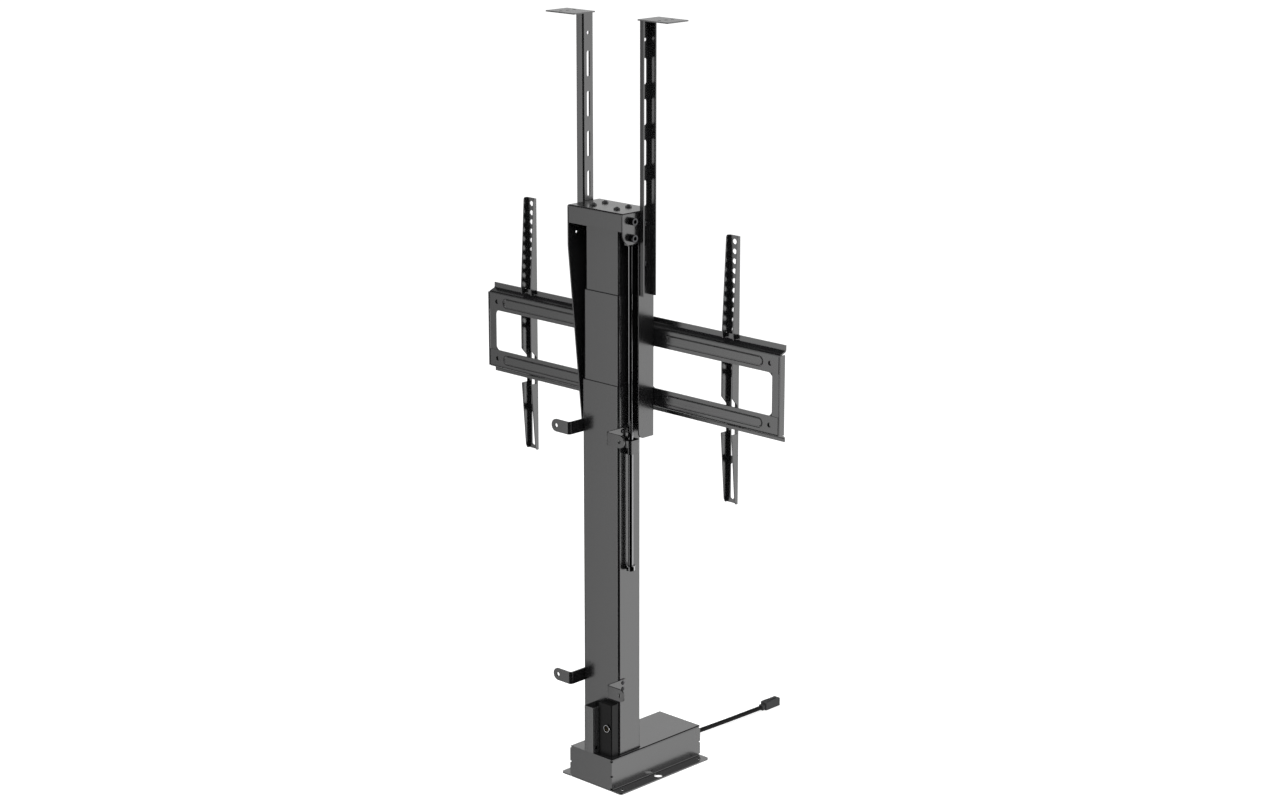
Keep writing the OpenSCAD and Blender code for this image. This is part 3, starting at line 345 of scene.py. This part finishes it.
# Open the end that faces +Y (side 1) or -Y (side -1): inset its face and push it in
def openEnd(piece, side, wall, depth):
    pickOnly(piece)
    bpy.ops.object.mode_set(mode="EDIT")
    bpy.ops.mesh.select_all(action="DESELECT")
    work = bmesh.from_edit_mesh(piece.data)
    for face in work.faces:
        face.select = face.normal.y * side > 0.9
    bmesh.update_edit_mesh(piece.data)
    bpy.ops.mesh.inset(thickness=wall)
    bpy.ops.mesh.extrude_region_move(TRANSFORM_OT_translate={"value": (0, -side * depth, 0)})
    bpy.ops.object.mode_set(mode="OBJECT")


def joinPieces(pieces, name):
    clearPick()
    for p in pieces:
        p.select_set(True)
    bpy.context.view_layer.objects.active = pieces[0]
    bpy.ops.object.join()
    pieces[0].name = name
    return pieces[0]


# Folded and turned pieces: the model's own shape with its triangles merged and its edges eased
edges = {
    "sheet": 0.45 * mm,
    "crisp": 0.18 * mm,      # keeps the fine creases round the rails' pressed beads
    "small": 0.25 * mm,
    "mergeGap": 0.01 * mm,
    "flatAngle": 0.6,        # degrees between faces that become one
}
easedNodes = {
    "sheet": ["base_cover", "base_plate", "base_end_plates", "outer_tube", "middle_tube", "inner_tube",
              "tab_upper_left", "tab_upper_right", "tab_lower_left", "tab_lower_right", "rod_sleeve",
              "wire_cover", "head_bracket", "rod_hanger", "lid_bracket_left",
              "lid_bracket_right", "tv_arm_left", "tv_arm_right"],
    "crisp": ["rail_frame"],
    "small": ["tab_screws", "wire_cover_screws", "sleeve_bush", "cap_screws", "hanger_bolts", "stop_rod",
              "stop_nut", "lid_clamp_screws", "rail_bolts", "socket_panel"],
}


def easeNode(name, width):
    piece = bpy.data.objects.new(name + "_finished", nodes[name].data.copy())
    bpy.context.scene.collection.objects.link(piece)
    pickOnly(piece)
    bpy.ops.object.mode_set(mode="EDIT")
    bpy.ops.mesh.select_all(action="SELECT")
    bpy.ops.mesh.remove_doubles(threshold=edges["mergeGap"])
    bpy.ops.mesh.dissolve_limited(angle_limit=math.radians(edges["flatAngle"]))
    bpy.ops.object.mode_set(mode="OBJECT")
    bevelEdges(piece, width)
    settle(piece, bodyOfNode[name], slotOfNode[name], ownLooks.get(name))
    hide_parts(name)


for kind, names in easedNodes.items():
    for nodeName in names:
        easeNode(nodeName, edges[kind])
print("sheet metal and fasteners finished")

# Nodes that still show keep the model's own mesh and take their slot's look
for nodeName, node in nodes.items():
    if not node.hide_render:
        node.data.materials.clear()
        node.data.materials.append(looks[slotOfNode[nodeName]])


# Cable from the strain relief to the in-line connector, which rests on the floor
cable = {
    "width": 8.0 * mm,
    "length": 0.211,
    "roundness": 5,      # extra sides in each quarter of its section
    "smoothness": 4,     # steps between two points of its route
    # in millimetres, the same points as the model's own plain cable
    "route": [(15, -190, 11), (15, -201, 10.6), (14.9, -212, 10.3), (14.9, -223, 10), (14.9, -234, 9.6),
              (14.9, -246, 9.3), (14.8, -257, 9), (14.8, -268, 8.7), (14.8, -279, 8.4), (14.8, -290, 8.2),
              (14.7, -301, 7.9), (14.7, -312, 7.7), (14.7, -323, 7.5), (14.7, -334, 7.3), (14.6, -345, 7.2),
              (14.6, -357, 7), (14.6, -368, 6.9), (14.6, -379, 6.7), (14.5, -390, 6.6), (14.5, -401, 6.5)],
}


def makeCable():
    data = bpy.data.curves.new("cableLine", "CURVE")
    data.dimensions = "3D"
    data.bevel_depth = cable["width"] / 2
    data.bevel_resolution = cable["roundness"]
    data.resolution_u = cable["smoothness"]
    data.use_fill_caps = True
    line = data.splines.new("BEZIER")
    line.bezier_points.add(len(cable["route"]) - 1)
    for point, place in zip(line.bezier_points, cable["route"]):
        point.co = Vector(place) * mm
        point.handle_left_type = "AUTO"
        point.handle_right_type = "AUTO"
    piece = bpy.data.objects.new("supply_cable", data)
    bpy.context.scene.collection.objects.link(piece)
    data.materials.append(looks["cable_jacket"])
    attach(piece, "base")
    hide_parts("cable")
    return piece


supplyCable = makeCable()


# Strain relief: a ribbed taper round the cable
relief = {
    "wide": 7.4 * mm,
    "narrow": 5.2 * mm,
    "edge": 0.3 * mm,
    "sides": 32,
    "ribs": 5,
    "ringsPerRib": 4,      # two on the rib, then two in its groove
    "grooveDepth": 0.9 * mm,
    "plainEnd": 0.02,      # share of the length at each end that stays smooth
}


def makeRelief():
    low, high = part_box("cable_gland")
    centreX = (low.x + high.x) / 2
    centreZ = (low.z + high.z) / 2
    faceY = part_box("base_end_plates")[0].y
    length = faceY - low.y
    piece = addBar("strain_relief", relief["wide"], length, (centreX, faceY - length / 2, centreZ),
                   relief["sides"], turn=90)
    rings = relief["ribs"] * relief["ringsPerRib"]
    bpy.ops.object.mode_set(mode="EDIT")
    for k in range(1, rings):
        bpy.ops.mesh.select_all(action="SELECT")
        bpy.ops.mesh.bisect(plane_co=(centreX, faceY - length * k / rings, centreZ), plane_no=(0, 1, 0))
    bpy.ops.object.mode_set(mode="OBJECT")
    for vertex in piece.data.vertices:
        along = (faceY - vertex.co.y) / length
        ring = round(along * rings) % relief["ringsPerRib"]
        ribbed = relief["plainEnd"] < along < 1 - relief["plainEnd"]
        groove = relief["grooveDepth"] if ribbed and ring >= relief["ringsPerRib"] / 2 else 0
        radius = relief["wide"] + (relief["narrow"] - relief["wide"]) * along - groove
        around = Vector((vertex.co.x - centreX, 0, vertex.co.z - centreZ)).normalized() * radius
        vertex.co.x = centreX + around.x
        vertex.co.z = centreZ + around.z
    bevelEdges(piece, relief["edge"], 2, 30)
    settle(piece, "base", "black_plastic")
    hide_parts("cable_gland")
    return piece


strainRelief = makeRelief()


# In-line connector: a body with eased edges, an open mouth with contacts, ribs and a latch
plug = {
    "edge": 0.55 * mm,
    "mouthInset": 1.6 * mm,
    "mouthDepth": 7 * mm,
    "contactSize": 1.4 * mm,
    "contactHeights": (0.34, 0.66),     # shares of the body's height
    "contactSetBack": 1.5 * mm,
    "contactSunk": 1 * mm,
    "contactEdge": 0.2 * mm,
    "ribs": 4,
    "firstRib": 4 * mm,       # from the body's cable end
    "ribPitch": 3.2 * mm,
    "ribHalf": 0.7 * mm,
    "ribSunk": 0.4 * mm,
    "ribRise": 0.5 * mm,
    "ribEdge": 0.3 * mm,
    "neckLength": 8 * mm,
    "neckHalf": 5 * mm,
    "neckSunk": 0.5 * mm,
    "neckShort": 0.05 * mm,   # ends this far inside the model's own plug
    "neckEdge": 1.4 * mm,
    "latchRise": 1.5 * mm,
    "latchHalf": 2.2 * mm,
    "latchStart": 6 * mm,     # from the mouth's face
    "latchEnd": 24 * mm,
    "latchSunk": 0.2 * mm,
    "latchEdge": 0.5 * mm,
}


def makeConnector():
    low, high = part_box("cable_plug")
    neckEnd = high.y - plug["neckLength"]
    top = high.z - plug["latchRise"]
    centreX = (low.x + high.x) / 2
    body = addBlock("connectorBody", (low.x, low.y, low.z), (high.x, neckEnd, top), 0)
    openEnd(body, -1, plug["mouthInset"], plug["mouthDepth"])
    bevelEdges(body, plug["edge"], 3)
    applyModifiers(body)
    parts = [body]
    half = plug["contactSize"] / 2
    for share in plug["contactHeights"]:
        z = low.z + (top - low.z) * share
        contactEnd = low.y + plug["mouthDepth"] + plug["contactSunk"]
        parts.append(addBlock("contact", (centreX - half, low.y + plug["contactSetBack"], z - half),
                              (centreX + half, contactEnd, z + half), plug["contactEdge"], 2))
    for k in range(plug["ribs"]):
        y = neckEnd - plug["firstRib"] - plug["ribPitch"] * k
        parts.append(addBlock("rib", (low.x, y - plug["ribHalf"], top - plug["ribSunk"]),
                              (high.x, y + plug["ribHalf"], top + plug["ribRise"]), plug["ribEdge"], 2))
    neckHalf = plug["neckHalf"]
    cableZ = cable["route"][-1][2] * mm
    parts.append(addBlock("neck", (centreX - neckHalf, neckEnd - plug["neckSunk"], cableZ - neckHalf),
                          (centreX + neckHalf, high.y - plug["neckShort"], cableZ + neckHalf),
                          plug["neckEdge"]))
    latchHalf = plug["latchHalf"]
    latchLow = top - plug["latchSunk"]
    parts.append(addBlock("latch", (centreX - latchHalf, low.y + plug["latchStart"], latchLow),
                          (centreX + latchHalf, low.y + plug["latchEnd"], high.z), plug["latchEdge"], 2))
    piece = joinPieces(parts, "connector")
    settle(piece, "base", "black_plastic", ownLooks["cable_plug"])
    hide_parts("cable_plug")
    return piece


connector = makeConnector()
print("cable laid")


# Handset socket: a rolled ring round a dark insert with five pins
socket = {
    "wall": 1.5 * mm,
    "back": 1 * mm,
    "ringSides": 48,
    "ringEdge": 0.45 * mm,
    "insertDrop": 3.2 * mm,
    "insertLength": 3 * mm,
    "insertSides": 40,
    "insertEdge": 0.3 * mm,
    "pins": 5,
    "pinCircle": 2.8 * mm,
    "pinRadius": 0.55 * mm,
    "pinLength": 2.4 * mm,
    "pinRise": 0.9 * mm,      # its middle above the insert's face
    "pinSides": 12,
    "pinEdge": 0.2 * mm,
}


def makePin(centre, faceY, turn):
    place = (centre.x + socket["pinCircle"] * math.cos(turn), faceY + socket["pinRise"],
             centre.z + socket["pinCircle"] * math.sin(turn))
    pin = addBar("pin", socket["pinRadius"], socket["pinLength"], place, socket["pinSides"])
    bevelEdges(pin, socket["pinEdge"])
    applyModifiers(pin)
    return pin


def makeSocket():
    low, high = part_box("handset_socket")
    centre = (low + high) / 2
    radius = (high.x - low.x) / 2
    depth = high.y - low.y
    ring = addBar("socket_ring", radius, depth, centre, socket["ringSides"])
    openEnd(ring, 1, socket["wall"], depth - socket["back"])
    bevelEdges(ring, socket["ringEdge"], 3)
    applyModifiers(ring)
    settle(ring, "base", "bright_metal")
    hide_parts("handset_socket")
    faceY = high.y - socket["insertDrop"]
    insert = addBar("socket_insert", radius - socket["wall"], socket["insertLength"],
                    (centre.x, faceY - socket["insertLength"] / 2, centre.z), socket["insertSides"])
    bevelEdges(insert, socket["insertEdge"])
    settle(insert, "base", "black_plastic")
    count = socket["pins"]
    pins = [makePin(centre, faceY, 2 * math.pi * k / count + math.pi / 2) for k in range(count)]
    settle(joinPieces(pins, "socket_pins"), "base", "brass")


makeSocket()
print("socket made")


# Stage: pale floor and plain light; what gloss mirrors is white walls with dark gaps, by direction
stage = {
    "floorSize": 60.0,
    "floorTone": 0.8,
    "floorGlow": 0.66,
    "softLight": 0.55,
    "wallLight": 1.2,
    # degrees round from +X towards +Y, and how bright the wall is there
    "walls": [(0, 0.35), (28, 0.06), (40, 0.12), (43, 0.2), (46, 0.46), (49, 0.75), (57, 0.85), (66, 0.5),
              (76, 0), (184, 0), (194, 0.4), (204, 0.92), (214, 0.96), (226, 0.77), (245, 0.7), (290, 0.8),
              (316, 0.84), (340, 0.7), (360, 0.35)],
    # degrees above level, and how bright
    "heights": [(-90, 0), (-55, 0), (-40, 0.8), (-22, 1.0), (-15, 0.97), (-8, 0.9), (3, 0.8), (6.5, 0.45),
                (9.5, 0.84), (25, 0.9), (32, 0.5), (42, 0), (90, 0)],
    # name, place, width in metres and power in watts
    "lamps": [("keyLamp", (-1.6, 1.2, 3.2), 2.2, 60), ("fillLamp", (1.8, 1.6, 2.6), 2.0, 22)],
    "lampAim": (0, 0, 0.6),
}


def splitAxes(graph, vector):
    return [graph.add("ShaderNodeSeparateXYZ", None, {0: vector}, out=k) for k in range(3)]


# Whether a ray comes straight from the camera, and whether it comes off gloss
def rayKinds(graph):
    seen = graph.add("ShaderNodeLightPath", out="Is Camera Ray")
    mirrored = graph.add("ShaderNodeLightPath", out="Is Glossy Ray")
    return seen, mirrored


def makeFloor():
    bpy.ops.mesh.primitive_plane_add(size=stage["floorSize"], location=(0, 0, 0))
    floor = bpy.context.object
    floor.name = "floor"
    material, graph = newGraph("paleFloor")
    seen, mirrored = rayKinds(graph)
    paint = graph.add("ShaderNodeBsdfDiffuse", None, {"Color": (stage["floorTone"],) * 3})
    glow = graph.add("ShaderNodeEmission", None, {"Color": (1, 1, 1), "Strength": seen * stage["floorGlow"]})
    lit = graph.add("ShaderNodeAddShader", None, {0: paint, 1: glow})
    clear = graph.add("ShaderNodeBsdfTransparent")
    surface = graph.add("ShaderNodeMixShader", None, {0: mirrored, 1: lit, 2: clear})
    graph.add("ShaderNodeOutputMaterial", None, {"Surface": surface})
    floor.data.materials.append(material)


def makeWorld():
    world = bpy.data.worlds.new("studio")
    bpy.context.scene.world = world
    world.use_nodes = True
    graph = Graph(world.node_tree)
    seen, mirrored = rayKinds(graph)
    east, north, up = splitAxes(graph, graph.add("ShaderNodeTexCoord", out="Generated"))
    turn = graph.add("ShaderNodeMath", {"operation": "ARCTAN2"}, {0: north, 1: east})
    share = graph.add("ShaderNodeMath", {"operation": "FRACT"}, {0: turn * (0.5 / math.pi) + 1.0})
    wall = graph.add("ShaderNodeValToRGB", {"stops": [(d / 360, s) for d, s in stage["walls"]]}, {0: share})
    levels = [(math.sin(math.radians(d)) / 2 + 0.5, s) for d, s in stage["heights"]]
    level = graph.add("ShaderNodeValToRGB", {"stops": levels}, {0: up * 0.5 + 0.5})
    mirror = wall * level * stage["wallLight"]
    strength = seen + (1 - seen) * (mirrored * mirror + (1 - mirrored) * stage["softLight"])
    back = graph.add("ShaderNodeBackground", None, {"Color": (1, 1, 1), "Strength": strength})
    graph.add("ShaderNodeOutputWorld", None, {"Surface": back})


def makeLamp(name, place, size, power):
    data = bpy.data.lights.new(name, "AREA")
    data.size = size
    data.energy = power
    lamp = bpy.data.objects.new(name, data)
    lamp.location = place
    lamp.rotation_euler = (Vector(stage["lampAim"]) - Vector(place)).to_track_quat("-Z", "Y").to_euler()
    lamp.visible_glossy = False
    bpy.context.scene.collection.objects.link(lamp)


makeFloor()
makeWorld()
for lampSettings in stage["lamps"]:
    makeLamp(*lampSettings)
bpy.context.scene.view_settings.view_transform = "Standard"
print("stage and light set")
